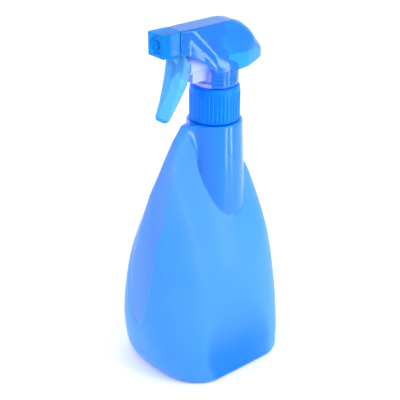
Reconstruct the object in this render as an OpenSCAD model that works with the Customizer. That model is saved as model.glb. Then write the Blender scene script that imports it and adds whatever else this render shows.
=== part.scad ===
// Trigger spray bottle. Origin: the neck's axis on the plane it stands on.
// +Z is up, the nozzle points along -Y, and X is the width.

/* [Bottle] */
// Height of the shoulder under the closure
body_h = 176.5; // [150:0.5:220]
// Width of the body at its base, before its sides are flattened
body_w = 91; // [80:0.5:110]
// Width across the two flats at the base
flat_w = 86; // [76:0.5:90]
// Lean of each flat towards the axis, in degrees
flat_lean = 7; // [5:0.5:10]
// Furthest reach of the front from the neck's axis
front_reach = 68; // [56:0.5:80]
// Furthest reach of the back from the neck's axis
back_reach = 45; // [36:0.5:54]
// Wall of the blown bottle
wall = 1.4; // [1.2:0.1:2]
// Floor of the blown bottle
floor_t = 3; // [2.6:0.1:4]
// Radius of the round shoulder cone at its top
sleeve_r = 18.9; // [18.4:0.1:20]
// Flare of the shoulder cone, in degrees
sleeve_flare = 2.7; // [1:0.1:4]

/* [Neck and closure] */
// Outer radius of the neck
neck_r = 12.4; // [12:0.1:12.6]
// Bore of the neck
bore_r = 10.6; // [10.2:0.1:10.8]
// Height of the neck above the shoulder
neck_h = 18.5; // [17:0.1:24]
// Height that the neck's thread stands out
thread_depth = 0.8; // [0.6:0.1:0.9]
// Rise of the thread in one turn
thread_pitch = 4.2; // [3.6:0.1:5]
// Outer radius of the closure over its ribs
collar_r = 17; // [16.7:0.1:17.6]
// Inner radius of the closure
collar_bore_r = 14.2; // [14:0.1:14.4]
// Number of ribs round the closure
collar_ribs = 40; // [36:60]
// Depth of the grooves between the ribs
rib_depth = 0.45; // [0.3:0.05:0.6]
// Thickness of the closure's top
collar_top = 2.5; // [2:0.1:3.5]
// Gap between the closure and the shoulder
collar_gap = 0.8; // [0.5:0.1:1.5]

/* [Pump] */
// Thickness of the sealing washer
gasket_t = 1.2; // [1:0.1:2]
// Thickness of the valve holder's flange
flange_t = 1.8; // [1.4:0.1:2.5]
// Radius of the valve holder's flange
flange_r = 13.2; // [12.6:0.1:13.2]
// Outer radius of the pump's stem inside the closure
stem_r = 11.5; // [10.8:0.1:12]
// Outer radius of the dip tube
tube_r = 2.75; // [2.4:0.05:3]
// Wall of the dip tube
tube_wall = 0.85; // [0.6:0.05:1]
// Gap between the dip tube and the bottle's floor
tube_gap = 3; // [2:0.5:8]
// Radius of the inlet valve's ball
ball_r = 2.4; // [2:0.1:2.6]
// Height that the ball can lift
ball_lift = 1.2; // [0.8:0.1:1.6]
// Bore of the pump's cylinder
cyl_bore_r = 5.3; // [4.8:0.1:5.4]
// Wall of the pump's cylinder
cyl_wall = 1.3; // [1:0.1:1.4]
// Height of the cylinder's axis above the closure's top
cyl_rise = 16.2; // [15.8:0.1:18]
// Height of the barrel's axis above the cylinder's axis
barrel_rise = 18; // [17:0.1:21]
// Outer radius of the barrel
barrel_r = 4.4; // [4.2:0.1:4.5]
// Bore of the barrel
barrel_bore_r = 2.2; // [2:0.1:2.3]
// Diameter of the return spring's wire
wire_d = 0.9; // [0.6:0.1:1]
// Turns of the return spring
spring_turns = 5; // [4:6]

/* [Trigger] */
// Distance of the pivot in front of the neck's axis
pivot_y = 28; // [26:0.5:29]
// Height of the pivot above the cylinder's axis
pivot_rise = 16; // [15:0.5:17]
// Half width of the trigger at its top
trigger_top_w = 9; // [8.8:0.1:9.2]
// Half width of the trigger at its tip
trigger_tip_w = 6.2; // [5.6:0.1:6.5]
// Wall of the trigger
trigger_wall = 1.3; // [1.2:0.1:1.5]
// Drop of the trigger's tip below the pivot
trigger_drop = 48.5; // [42:0.5:52]

/* [Shroud and nozzle] */
// Side of the square nozzle cap
cap_w = 15; // [14:0.1:16]
// Length of the nozzle cap
cap_l = 13.9; // [13:0.1:16]
// Distance of the shroud's front edge in front of the neck's axis
shroud_front = 34.2; // [34:0.1:36]
// Wall of the shroud
shroud_wall = 1.2; // [1:0.1:1.4]
// Half width of the shroud's flat top
deck_w = 8; // [7.8:0.1:8.6]
// Radius of the shroud's skirt above the closure
skirt_r = 15.4; // [15.2:0.1:16]

/* [Hidden] */
$fn = 64;

eps = 0.01;
run_gap = 0.06;       // radial clearance of a running fit
slip_gap = 0.05;      // radial clearance of a fit that stays put
free_gap = 0.3;       // clearance between parts that move apart

// Heights, from the base up
lip_z = body_h + neck_h;
flange_z = lip_z + gasket_t;
flange_top = flange_z + flange_t;
collar_z = body_h + collar_gap;
ceiling_z = flange_top + free_gap;
collar_top_z = ceiling_z + collar_top;
base_z = collar_top_z + free_gap;
skirt_z = collar_top_z + 0.7;
cyl_z = collar_top_z + cyl_rise;
barrel_z = cyl_z + barrel_rise;
pivot_z = cyl_z + pivot_rise;
tip_z = pivot_z - trigger_drop;
deck_z = barrel_z + cap_w / 2;

// Places along Y
cap_back = -(shroud_front + 0.4);
cap_front = cap_back - cap_l;
barrel_front = cap_back - 8;
barrel_back = 4.8;
cyl_r = cyl_bore_r + cyl_wall;
cyl_front = -25.4;
cyl_back = 6;
cyl_end = 3.8;
head_front = -17;
head_back = -8;
rod_r = 3.4;

// Fits in the closure and the valve holder
thread_r = neck_r + thread_depth;
collar_thread_r = thread_r + free_gap;
spigot_r = stem_r - 2.4;
socket_wall = 1.4;
socket_depth = 11;
tube_top = flange_z - 1;
tube_foot = floor_t + tube_gap;
seat_r = 1.7;
seat_z = flange_z + 1.6;
ball_z = seat_z + sqrt(ball_r * ball_r - seat_r * seat_r) + 0.12;
cage_r = ball_r + 0.45;
port_r = 1.5;
cage_top = ball_z + ball_lift + sqrt(ball_r * ball_r - port_r * port_r) + 0.1;
spigot_top = cage_top - free_gap;

// ---------------------------------------------------------------- bottle

// Each station: share of the height, then the share of the half width, of the
// front reach and of the back reach, and the roundness exponent of the section.
STATIONS = [
    [0.00, 1.00, 0.81, 0.93, 2.90],
    [0.03, 0.98, 0.87, 0.95, 2.85],
    [0.09, 0.96, 0.93, 0.98, 2.80],
    [0.26, 0.84, 1.00, 1.00, 2.70],
    [0.51, 0.66, 0.95, 0.90, 2.50],
    [0.74, 0.30, 0.81, 0.67, 2.20],
    [0.84, 0.15, 0.69, 0.45, 2.10],
    [0.93, 0.14, 0.555, 0.25, 2.00],
    [0.98, 0.13, 0.455, 0.18, 2.00],
    [1.00, 0.13, 0.41, 0.15, 2.00],
];
RING_SHARES = [
    0, 0.008, 0.02, 0.04, 0.07, 0.11, 0.16, 0.22, 0.29, 0.36, 0.43,
    0.50, 0.57, 0.64, 0.70, 0.76, 0.82, 0.88, 0.93, 0.96, 0.985, 1,
];
RING_POINTS = 36;

// Smooth curve through the stations: column c at share s of the height
function station_slope(i, c) =
    let (low = max(i - 1, 0), high = min(i + 1, len(STATIONS) - 1))
    (STATIONS[high][c] - STATIONS[low][c]) / (STATIONS[high][0] - STATIONS[low][0]);
function station_at(s, i = 0) =
    i >= len(STATIONS) - 2 || s <= STATIONS[i + 1][0] ? i : station_at(s, i + 1);
function blend_station(s, c) =
    let (i = station_at(s),
         step = STATIONS[i + 1][0] - STATIONS[i][0],
         u = (s - STATIONS[i][0]) / step)
    STATIONS[i][c] * (2 * u * u * u - 3 * u * u + 1)
    + station_slope(i, c) * step * (u * u * u - 2 * u * u + u)
    + STATIONS[i + 1][c] * (3 * u * u - 2 * u * u * u)
    + station_slope(i + 1, c) * step * (u * u * u - u * u);

// Middle of the section along Y, which moves to the neck's axis at the top
middle_low = -7;
middle_high = -2;
function section_middle(s) = middle_low + (middle_high - middle_low) * s;

// How far outside the section a point at radius r and angle a lies (1 is on it)
function section_load(r, a, s) =
    let (mid = section_middle(s),
         n = blend_station(s, 4),
         y = r * sin(a) - mid,
         reach = y < 0 ? front_reach * blend_station(s, 2) + mid
                       : back_reach * blend_station(s, 3) - mid)
    pow(abs(r * cos(a)) / (body_w / 2 * blend_station(s, 1)), n)
    + pow(abs(y) / reach, n);
function section_radius(a, s, low = 0, high = 120, left = 18) =
    let (r = (low + high) / 2)
    left == 0 ? r
    : section_load(r, a, s) > 1 ? section_radius(a, s, low, r, left - 1)
    : section_radius(a, s, r, high, left - 1);
flat_crown = 0.03;    // the flats bulge a little, as blown sides do
function flat_radius(a, z) =
    (flat_w / 2 - z * tan(flat_lean)) / (abs(cos(a)) + flat_crown * pow(sin(a), 2));
function sleeve_radius(z) = sleeve_r + (body_h - z) * tan(sleeve_flare);
function bottle_radius(a, s) =
    max(min(section_radius(a, s), flat_radius(a, s * body_h)),
        sleeve_radius(s * body_h));

// Closed surface of the bottle's body, drawn in by inset all round
module bottle_surface(inset, low, high) {
    count = len(RING_SHARES);
    points = [
        for (s = RING_SHARES)
        for (k = [0 : RING_POINTS - 1])
        let (a = 360 * k / RING_POINTS,
             r = bottle_radius(a, s) - inset,
             z = low + s * (high - low))
        [r * cos(a), r * sin(a), z],
    ];
    sides = [
        for (i = [0 : count - 2])
        for (k = [0 : RING_POINTS - 1])
        let (p = i * RING_POINTS + k,
             q = i * RING_POINTS + (k + 1) % RING_POINTS)
        each [[p, p + RING_POINTS, q], [q, p + RING_POINTS, q + RING_POINTS]],
    ];
    foot = [for (k = [0 : RING_POINTS - 1]) k];
    head = [for (k = [RING_POINTS - 1 : -1 : 0]) (count - 1) * RING_POINTS + k];
    polyhedron(points, concat([foot], sides, [head]), convexity = 8);
}

// Two ridges that climb round a cylinder at the thread's pitch
module thread(r, depth, base_h, outwards) {
    lean = atan(thread_pitch / (2 * PI * r));
    root = outwards ? r - 0.4 : r + 0.4;
    crest = outwards ? r + depth : r - depth;
    for (turn = [0, 1])
        translate([0, 0, base_h + turn * thread_pitch])
            rotate([lean, 0, 60 * turn])
                rotate_extrude(angle = 300, $fn = 60)
                    polygon([[root, -1], [crest, -0.35], [crest, 0.35], [root, 1]]);
}

module bottle() {
    shoulder_t = 1.8;
    color("cornflowerblue")
        difference() {
            union() {
                bottle_surface(0, 0, body_h);
                translate([0, 0, body_h - 1])
                    cylinder(r = neck_r, h = neck_h + 1);
                thread(neck_r, thread_depth, body_h + 7.5, true);
            }
            bottle_surface(wall, floor_t, body_h - shoulder_t);
            translate([0, 0, body_h - shoulder_t - 1])
                cylinder(r = bore_r, h = neck_h + shoulder_t + 2);
        }
}

// --------------------------------------------------------- closure and seals

module collar() {
    ribs_top = collar_top_z - 4;
    chamfer = 1.2;
    groove_r = 0.7;
    color("dodgerblue")
        difference() {
            union() {
                translate([0, 0, collar_z])
                    cylinder(r = collar_r, h = ribs_top - collar_z);
                translate([0, 0, ribs_top])
                    cylinder(r = collar_r - rib_depth, h = collar_top_z - chamfer - ribs_top);
                translate([0, 0, collar_top_z - chamfer])
                    cylinder(r1 = collar_r - rib_depth, r2 = collar_r - rib_depth - chamfer,
                             h = chamfer);
            }
            translate([0, 0, collar_z - eps])
                cylinder(r = collar_bore_r, h = ceiling_z - collar_z + eps);
            cylinder(r = stem_r + free_gap + 0.05, h = collar_top_z + 1);
            for (k = [0 : collar_ribs - 1])
                rotate(360 * k / collar_ribs)
                    translate([collar_r - rib_depth + groove_r, 0, collar_z - eps])
                        cylinder(r = groove_r, h = ribs_top - collar_z - 0.8, $fn = 6);
        }
    color("dodgerblue")
        intersection() {
            thread(collar_bore_r, collar_bore_r - collar_thread_r, body_h + 5.4, false);
            translate([0, 0, collar_z])
                cylinder(r = collar_bore_r + 0.3, h = ceiling_z - collar_z);
        }
}

module neck_gasket() {
    color("whitesmoke")
        translate([0, 0, lip_z])
            difference() {
                cylinder(r = flange_r, h = gasket_t);
                translate([0, 0, -1])
                    cylinder(r = bore_r + 0.2, h = gasket_t + 2);
            }
}

// ---------------------------------------------------------------- inlet side

module valve_holder() {
    socket_r = tube_r + slip_gap;
    color("white")
        difference() {
            union() {
                translate([0, 0, flange_z])
                    cylinder(r = flange_r, h = flange_t);
                translate([0, 0, flange_top - eps])
                    cylinder(r = spigot_r, h = spigot_top - flange_top);
                translate([0, 0, flange_z - socket_depth])
                    cylinder(r = socket_r + socket_wall, h = socket_depth + 1);
            }
            translate([0, 0, flange_top])
                difference() {
                    cylinder(r = spigot_r - 1.2, h = spigot_top);
                    cylinder(r = cage_r + 1.2, h = spigot_top);
                }
            translate([0, 0, flange_z - socket_depth - 1])
                cylinder(r = socket_r, h = tube_top - flange_z + socket_depth + 1);
            translate([0, 0, tube_top - 1])
                cylinder(r = seat_r, h = seat_z - tube_top + 2);
            translate([0, 0, seat_z])
                cylinder(r = cage_r, h = spigot_top);
        }
}

module dip_tube() {
    color("aliceblue")
        translate([0, 0, tube_foot])
            difference() {
                cylinder(r = tube_r, h = tube_top - tube_foot);
                translate([0, 0, -1])
                    cylinder(r = tube_r - tube_wall, h = tube_top - tube_foot + 2);
            }
}

module inlet_ball() {
    color("silver")
        translate([0, 0, ball_z])
            sphere(r = ball_r);
}

// ------------------------------------------------------------------ the pump

// A round bar along Y, from y = from to y = to, at height z
module bar_y(r, from, to, z) {
    translate([0, from, z])
        rotate([-90, 0, 0])
            cylinder(r = r, h = to - from);
}

module pump_body() {
    base_r = skirt_r - shroud_wall - free_gap;
    base_h = 2.6;
    riser_r = 4;
    bead_h = 0.35;
    bead_y = cap_back - 2.6;
    housing_w = cyl_r - 1;
    housing_h = cyl_r + 3.9;
    color("ghostwhite")
        difference() {
            union() {
                // stem, base plate and the block that carries the cylinder
                translate([0, 0, flange_top])
                    cylinder(r = stem_r, h = cyl_z - cyl_r + 1 - flange_top);
                translate([0, 0, base_z])
                    cylinder(r = base_r, h = base_h);
                translate([-cyl_r + 0.6, -9, cyl_z - cyl_r - 4])
                    cube([2 * cyl_r - 1.2, 15, cyl_r + 4]);
                bar_y(cyl_r, cyl_front, cyl_back, cyl_z);
                // housing under the front of the cylinder, between the trigger's sides
                translate([-housing_w, cyl_front + 2, cyl_z - housing_h])
                    cube([2 * housing_w, -8 - cyl_front - 2, housing_h]);
                // riser and barrel
                translate([0, 0, cyl_z + cyl_bore_r + 0.5])
                    cylinder(r = riser_r, h = barrel_rise - cyl_bore_r - 0.5);
                bar_y(barrel_r, barrel_front, barrel_back, barrel_z);
                translate([-1, -20, cyl_z + cyl_r - 1])
                    cube([2, 20, barrel_rise - cyl_r - barrel_r + 2]);
                // snap bead that holds the nozzle cap
                translate([0, bead_y, barrel_z])
                    rotate([-90, 0, 0])
                        cylinder(r = barrel_r + bead_h, h = 0.8);
                // trunnions for the trigger
                for (side = [0, 180])
                    translate([0, -pivot_y, pivot_z])
                        rotate([0, 90, side])
                            translate([0, 0, barrel_bore_r + 0.5])
                                cylinder(r = trunnion_r(),
                                         h = trunnion_outside() - barrel_bore_r - 0.5);
            }
            // bores
            translate([0, 0, flange_top - eps])
                cylinder(r = spigot_r + slip_gap, h = cage_top - flange_top + eps);
            translate([0, 0, spigot_top])
                cylinder(r = port_r, h = cyl_z - spigot_top);
            translate([0, 0, cyl_z])
                cylinder(r = port_r, h = barrel_rise);
            bar_y(cyl_bore_r, cyl_front - 1, cyl_end, cyl_z);
            bar_y(barrel_bore_r, barrel_front - 1, valve_seat_y(), barrel_z);
            bar_y(1.2, valve_seat_y() - 1, 0, barrel_z);
            // groove for the nozzle's seal ring
            translate([0, seal_y() - seal_wire(), barrel_z])
                rotate([-90, 0, 0])
                    difference() {
                        cylinder(r = barrel_r + 1, h = 2 * seal_wire());
                        translate([0, 0, -1])
                            cylinder(r = seal_groove_r(), h = 4);
                    }
        }
}

function trunnion_r() = 1.9;
function trunnion_inside() = barrel_r + 0.5;
function trunnion_outside() = trunnion_inside() + 1.5;
function valve_seat_y() = -22;
function seal_wire() = 0.5;
function seal_y() = cap_back - 5.4;
function seal_groove_r() = barrel_r - 0.95;

module piston() {
    seal_slot = 1.4;
    groove_r = cyl_bore_r - 1.2;
    color("gainsboro")
        difference() {
            union() {
                bar_y(cyl_bore_r - 0.35, head_front, head_back, cyl_z);
                bar_y(rod_r, pad_y() + free_gap + 1, head_front, cyl_z);
                bar_y(rod_r - 0.8, pad_y() + free_gap, head_front, cyl_z);
            }
            bar_y(spring_r() + 0.3 + wire_d / 2, head_back - 3, head_back + 1, cyl_z);
            for (y = [head_front + 1, head_back - 1 - seal_slot])
                translate([0, y, cyl_z])
                    rotate([-90, 0, 0])
                        difference() {
                            cylinder(r = cyl_bore_r, h = seal_slot);
                            translate([0, 0, -1])
                                cylinder(r = groove_r, h = seal_slot + 2);
                        }
        }
}

function pad_y() = -29.4;
function spring_r() = 2.7;

// Two soft rings: the front one closes the vent, the back one the chamber
module piston_seals() {
    groove_r = cyl_bore_r - 1.2;
    color("lightskyblue")
        for (y = [head_front + 1.1, head_back - 2.3])
            translate([0, y, cyl_z])
                rotate([-90, 0, 0])
                    difference() {
                        cylinder(r = cyl_bore_r - run_gap, h = 1.2);
                        translate([0, 0, -1])
                            cylinder(r = groove_r + slip_gap, h = 3);
                    }
}

// Round wire wound about the cylinder's axis, with its ends on the piston and the end wall
module return_spring() {
    sides = 8;
    steps = 16;
    start = head_back - 3 + wire_d / 2 + 0.05;
    stop = cyl_end - wire_d / 2 - 0.05;
    count = spring_turns * steps + 1;
    rise = stop - start;
    lean = atan(rise / spring_turns / (2 * PI * spring_r()));
    points = [
        for (i = [0 : count - 1])
        for (k = [0 : sides - 1])
        let (turn = 360 * i / steps,
             side = 360 * k / sides,
             out = wire_d / 2 * cos(side),
             along = wire_d / 2 * sin(side),
             r = spring_r() + out)
        [
            r * cos(turn) + along * sin(lean) * sin(turn),
            start + rise * i / (count - 1) + along * cos(lean),
            cyl_z + r * sin(turn) - along * sin(lean) * cos(turn),
        ],
    ];
    skin = [
        for (i = [0 : count - 2])
        for (k = [0 : sides - 1])
        let (p = i * sides + k,
             q = i * sides + (k + 1) % sides)
        each [[p, q, p + sides], [q, q + sides, p + sides]],
    ];
    first = [for (k = [sides - 1 : -1 : 0]) k];
    last = [for (k = [0 : sides - 1]) (count - 1) * sides + k];
    color("silver")
        polyhedron(points, concat([first], skin, [last]), convexity = 10);
}

// Soft valve with a head on the barrel's seat and a stem towards the swirl core
module outlet_valve() {
    color("lightgray")
        union() {
            bar_y(barrel_bore_r - 0.3, valve_seat_y() - 2.1, valve_seat_y() - 0.05, barrel_z);
            bar_y(0.9, core_back() + 0.7, valve_seat_y() - 2, barrel_z);
        }
}

function core_back() = -30;

// Core that turns the liquid before the outlet, with slots along it
module swirl_core() {
    slots = 3;
    color("white")
        difference() {
            union() {
                bar_y(barrel_bore_r - slip_gap, barrel_front + 0.1, core_back(), barrel_z);
                bar_y(1.4, barrel_front - 1.4, barrel_front + 1, barrel_z);
            }
            for (k = [0 : slots - 1])
                translate([0, 0, barrel_z])
                    rotate([0, 360 * k / slots, 0])
                        translate([-0.4, barrel_front - 2, 1.5])
                            cube([0.8, core_back() - barrel_front + 3, 2]);
            bar_y(0.7, core_back() - 4, core_back() + 1, barrel_z);
        }
}

module nozzle_seal() {
    color("dimgray")
        translate([0, seal_y(), barrel_z])
            rotate([-90, 0, 0])
                rotate_extrude()
                    translate([seal_groove_r() + seal_wire() + 0.02, 0])
                        circle(r = seal_wire() - 0.04, $fn = 24);
}

// ---------------------------------------------------------------- nozzle cap

module nozzle_cap() {
    cap_wall = 1.3;
    front_t = 2.2;
    socket_r = barrel_r + run_gap;
    socket_out = socket_r + 1;
    recess_r = 5.4;
    boss_r = 2.3;
    inner_w = cap_w - 2 * cap_wall;
    bead_room = 0.75;
    color("deepskyblue")
        difference() {
            translate([-cap_w / 2, cap_front, barrel_z - cap_w / 2])
                cube([cap_w, cap_l, cap_w]);
            // hollow behind, round the socket
            difference() {
                translate([-inner_w / 2, cap_front + front_t + 1.4, barrel_z - inner_w / 2])
                    cube([inner_w, cap_l, inner_w]);
                bar_y(socket_out, cap_front, cap_back, barrel_z);
                for (k = [0, 1, 2, 3])
                    translate([0, 0, barrel_z])
                        rotate([0, 90 * k, 0])
                            translate([-0.5, cap_front, 0])
                                cube([1, cap_l - 1.5, cap_w / 2]);
            }
            // socket on the barrel, with room for its bead
            bar_y(socket_r, barrel_front - 2, cap_back + 1, barrel_z);
            translate([0, cap_back - 3.1, barrel_z])
                rotate([-90, 0, 0])
                    cylinder(r = barrel_r + bead_room, h = 1.8);
            // round recess in the front, and the outlet
            translate([0, cap_front - 1, barrel_z])
                rotate([-90, 0, 0])
                    difference() {
                        cylinder(r = recess_r, h = 2.6);
                        cylinder(r = boss_r, h = 3);
                    }
            bar_y(0.45, cap_front - 1, cap_front + cap_l / 2, barrel_z);
        }
}

// ------------------------------------------------------------------- trigger

// Front edge of the trigger, from its shoulder down to its tip
sweep = 11.7;
trigger_steps = 14;
function trigger_shoulder() = barrel_z - cap_w / 2 - 1.2;
function trigger_front(u) = [-(shroud_front - 0.1) - sweep * pow(u, 1.43),
                             trigger_shoulder() - u * (trigger_shoulder() - tip_z)];
function trigger_depth(u) = min(6.8, 10 - 8.5 * u);

// Side view: the front edge drawn in by from_front, the back edge drawn out by past_back
function trigger_outline(from_front, past_back) = concat(
    [for (i = [0 : trigger_steps]) trigger_front(i / trigger_steps) + [from_front, 0]],
    [for (i = [trigger_steps : -1 : 0])
        let (u = i / trigger_steps)
        trigger_front(u) + [trigger_depth(u) + past_back, -5.3 * (1 - u)]]);

module along_x(w) {
    rotate([90, 0, 90])
        translate([0, 0, -w])
            linear_extrude(height = 2 * w)
                children();
}

// Front view of the trigger, narrowing to its rounded tip
module trigger_face(inset) {
    top = trigger_shoulder() + 1;
    tip_w = trigger_tip_w - inset;
    tip_r = 3.2 - inset;
    low = tip_z + inset;
    rotate([90, 0, 0])
        linear_extrude(height = 80)
            polygon(concat(
                [[trigger_top_w - inset, top], [inset - trigger_top_w, top]],
                arc(tip_r - tip_w, low + tip_r, tip_r, 180, 270, 6),
                arc(tip_w - tip_r, low + tip_r, tip_r, 270, 360, 6)));
}

// Arm from the finger piece up to the pivot, clear of the cylinder when pulled
module trigger_arm(side) {
    arm_t = 1.3;
    arm_r = 4.4;
    front = -(shroud_front - 0.8);
    translate([side * (trunnion_inside() + arm_t / 2), 0, 0])
        along_x(arm_t / 2)
            union() {
                translate([-pivot_y, pivot_z])
                    circle(r = arm_r);
                polygon([
                    [-pivot_y - arm_r, pivot_z],
                    [front, trigger_shoulder() - 1],
                    [front, trigger_shoulder() - 9],
                    [front + 1.2, trigger_shoulder() - 9],
                    [front + 3.1, trigger_shoulder() - 2.7],
                    [-pivot_y + arm_r - 1.5, pivot_z - 3],
                ]);
            }
}

module trigger() {
    front_t = 1.6;
    hole_r = trunnion_r() + run_gap;
    web_back = -31;
    nose = 2;
    color("deepskyblue")
        difference() {
            union() {
                // finger piece, open at the back
                difference() {
                    intersection() {
                        along_x(20) polygon(trigger_outline(0, 0));
                        trigger_face(0);
                    }
                    intersection() {
                        along_x(20) polygon(trigger_outline(front_t, 9));
                        trigger_face(trigger_wall);
                    }
                }
                // web across the top, which ties the arms to the sides
                along_x(trigger_top_w - 0.8)
                    polygon([
                        [-shroud_front + 0.8, trigger_shoulder() - 0.8],
                        [web_back, trigger_shoulder() - 2.7],
                        [web_back, trigger_shoulder() - 4],
                        [-shroud_front + 0.8, trigger_shoulder() - 2.2],
                    ]);
                trigger_arm(-1);
                trigger_arm(1);
                // rib with a rounded nose that presses on the piston
                along_x(1.2)
                    union() {
                        translate([pad_y() - nose, cyl_z])
                            circle(r = nose);
                        polygon([
                            [pad_y() - nose, cyl_z - nose],
                            [pad_y() - nose, cyl_z + nose],
                            [-shroud_front - 0.4, cyl_z + 5],
                            [-shroud_front - 1.2, cyl_z - 6],
                        ]);
                    }
            }
            for (side = [-1, 1])
                translate([side * 8 - 4, -pivot_y, pivot_z])
                    rotate([0, 90, 0])
                        cylinder(r = hole_r, h = 8);
        }
}

// -------------------------------------------------------------------- shroud

// Side view of the shroud, drawn in by inset
crown_r = 25.5;
crown_y = 5;
nose_r = 3.6;
nose_y = 33.8;
crown_end = 40;
function arc(cy, cz, r, from, to, steps) =
    [for (i = [0 : steps]) let (a = from + (to - from) * i / steps) [cy + r * cos(a), cz + r * sin(a)]];
function curve(p, q, r, steps) =
    [for (i = [0 : steps]) let (u = i / steps) (1 - u) * (1 - u) * p + 2 * u * (1 - u) * q + u * u * r];
function skirt_top() = cyl_z - 5;
function shroud_side(inset) = concat(
    inset > 0 ? [[-shroud_front - 5, deck_z - inset]] : [[-shroud_front, deck_z]],
    arc(crown_y, deck_z - crown_r, crown_r - inset, 90, crown_end, 10),
    arc(nose_y, skirt_top() + nose_r + 1.4, nose_r - inset, crown_end, inset > 0 ? 0 : -80, 6),
    inset > 0
        ? [[nose_y + nose_r - inset, skirt_top() - 20], [-shroud_front - 5, skirt_top() - 20]]
        : concat([[18, skirt_top()], [-11, skirt_top()]],
                 curve([-11.6, skirt_top() + 1.2], [-17.5, skirt_top() + 10.5],
                       [-shroud_front, barrel_z - cap_w / 2 + 0.8], 8)));

// Top view of the shroud: half width at places along Y
function shroud_plan(inset) =
    let (half = [
        [-shroud_front - (inset > 0 ? 5 : 0), cap_w / 2 + 0.1],
        [-shroud_front + 6, cap_w / 2 + 1],
        [-18, 11.4],
        [-10, 14],
        [0, skirt_r],
        [8, 15.2],
        [16, 13.8],
        [24, 11],
        [31, 8.3],
        [35, 6],
        [nose_y + nose_r, 3],
    ])
    concat([for (p = half) [p[1] - inset, p[0] - (p[0] > 30 ? inset : 0)]],
           [for (i = [len(half) - 1 : -1 : 0])
               [inset - half[i][1], half[i][0] - (half[i][0] > 30 ? inset : 0)]]);

// Front view: a flat top over sides that spread to the skirt
function shroud_face(inset) =
    let (top = deck_z - inset, low = skirt_top() - 20)
    [
        [-(deck_w - inset), top],
        [-(skirt_r + 0.4 - inset), skirt_top() + 1.6],
        [-(skirt_r + 0.4 - inset), low],
        [skirt_r + 0.4 - inset, low],
        [skirt_r + 0.4 - inset, skirt_top() + 1.6],
        [deck_w - inset, top],
    ];

module shroud_form(inset) {
    intersection() {
        along_x(20) polygon(shroud_side(inset));
        translate([0, 0, skirt_top() - 20])
            linear_extrude(height = 60)
                polygon(shroud_plan(inset));
        translate([0, 60, 0])
            rotate([90, 0, 0])
                linear_extrude(height = 120)
                    polygon(shroud_face(inset));
    }
}

module shroud() {
    opening = 41;
    rib_t = 1.2;
    color("deepskyblue")
        union() {
            difference() {
                shroud_form(0);
                shroud_form(shroud_wall);
            }
            // skirt round the back of the pump, open at the front
            difference() {
                translate([0, 0, skirt_z])
                    cylinder(r = skirt_r, h = skirt_top() + 0.8 - skirt_z);
                cylinder(r = skirt_r - shroud_wall, h = deck_z);
                for (z = [2.6, 5, 7.4])
                    translate([0, 0, skirt_z + z])
                        difference() {
                            cylinder(r = skirt_r + 1, h = 0.7);
                            translate([0, 0, -1])
                                cylinder(r = skirt_r - 0.35, h = 3);
                        }
                linear_extrude(height = deck_z)
                    polygon([[0, 0], 40 * [-sin(opening), -cos(opening)], [0, -60],
                             40 * [sin(opening), -cos(opening)]]);
            }
            // ribs that rest on the barrel
            for (y = [-20, -4])
                translate([-deck_w + shroud_wall - 0.3, y, barrel_z + barrel_r + 0.25])
                    cube([2 * (deck_w - shroud_wall) + 0.6, rib_t,
                          deck_z - barrel_z - barrel_r - 0.9]);
        }
}

bottle();
collar();
neck_gasket();
valve_holder();
dip_tube();
inlet_ball();
pump_body();
piston();
piston_seals();
return_spring();
outlet_valve();
swirl_core();
nozzle_seal();
nozzle_cap();
trigger();
shroud();
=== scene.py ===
"""Looks of a trigger spray bottle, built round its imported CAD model.

Sizes are in millimetres until a mesh is made, and follow the model's frame:
origin on the neck's axis at the standing plane, +Z up, nozzle along -Y.
"""
import math

import bmesh
import bpy
import numpy as np
from mathutils import Matrix, Vector


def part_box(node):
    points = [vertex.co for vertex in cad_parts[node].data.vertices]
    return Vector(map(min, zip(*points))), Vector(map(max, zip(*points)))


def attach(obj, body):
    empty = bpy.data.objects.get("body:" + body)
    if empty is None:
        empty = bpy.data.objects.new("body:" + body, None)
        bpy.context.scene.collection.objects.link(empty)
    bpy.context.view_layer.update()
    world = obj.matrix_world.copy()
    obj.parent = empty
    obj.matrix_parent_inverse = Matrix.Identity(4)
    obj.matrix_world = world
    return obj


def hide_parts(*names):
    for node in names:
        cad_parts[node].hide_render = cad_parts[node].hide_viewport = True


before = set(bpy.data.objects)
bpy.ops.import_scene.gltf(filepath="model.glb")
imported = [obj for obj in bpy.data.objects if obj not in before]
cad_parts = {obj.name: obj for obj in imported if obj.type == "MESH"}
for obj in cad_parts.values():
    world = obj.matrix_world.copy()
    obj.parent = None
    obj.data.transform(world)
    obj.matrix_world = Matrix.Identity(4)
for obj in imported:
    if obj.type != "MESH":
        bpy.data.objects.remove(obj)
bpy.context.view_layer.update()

MM = 0.001

# ---------------------------------------------------------------- heights and sizes
BODY_H = 176.5           # shoulder of the bottle
NECK_R = 12.4
NECK_BORE_R = 10.6
LIP_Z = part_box("bottle")[1][2] / MM
COLLAR_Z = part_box("collar")[0][2] / MM
COLLAR_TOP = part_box("collar")[1][2] / MM
COLLAR_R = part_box("collar")[1][0] / MM
SKIRT_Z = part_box("shroud")[0][2] / MM
DECK_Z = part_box("shroud")[1][2] / MM
SHROUD_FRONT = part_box("shroud")[0][1] / MM
NOSE_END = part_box("shroud")[1][1] / MM
CAP_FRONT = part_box("nozzle_cap")[0][1] / MM
CAP_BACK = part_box("nozzle_cap")[1][1] / MM
CAP_W = 2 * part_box("nozzle_cap")[1][0] / MM
BARREL_Z = DECK_Z - CAP_W / 2
PIVOT = (-28.0, 233.0)   # y, z of the trigger's pivot
TIP_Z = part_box("trigger")[0][2] / MM
CYL_Z = 217.0
SKIRT_R = 15.4
SHROUD_WALL = 1.2


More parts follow.
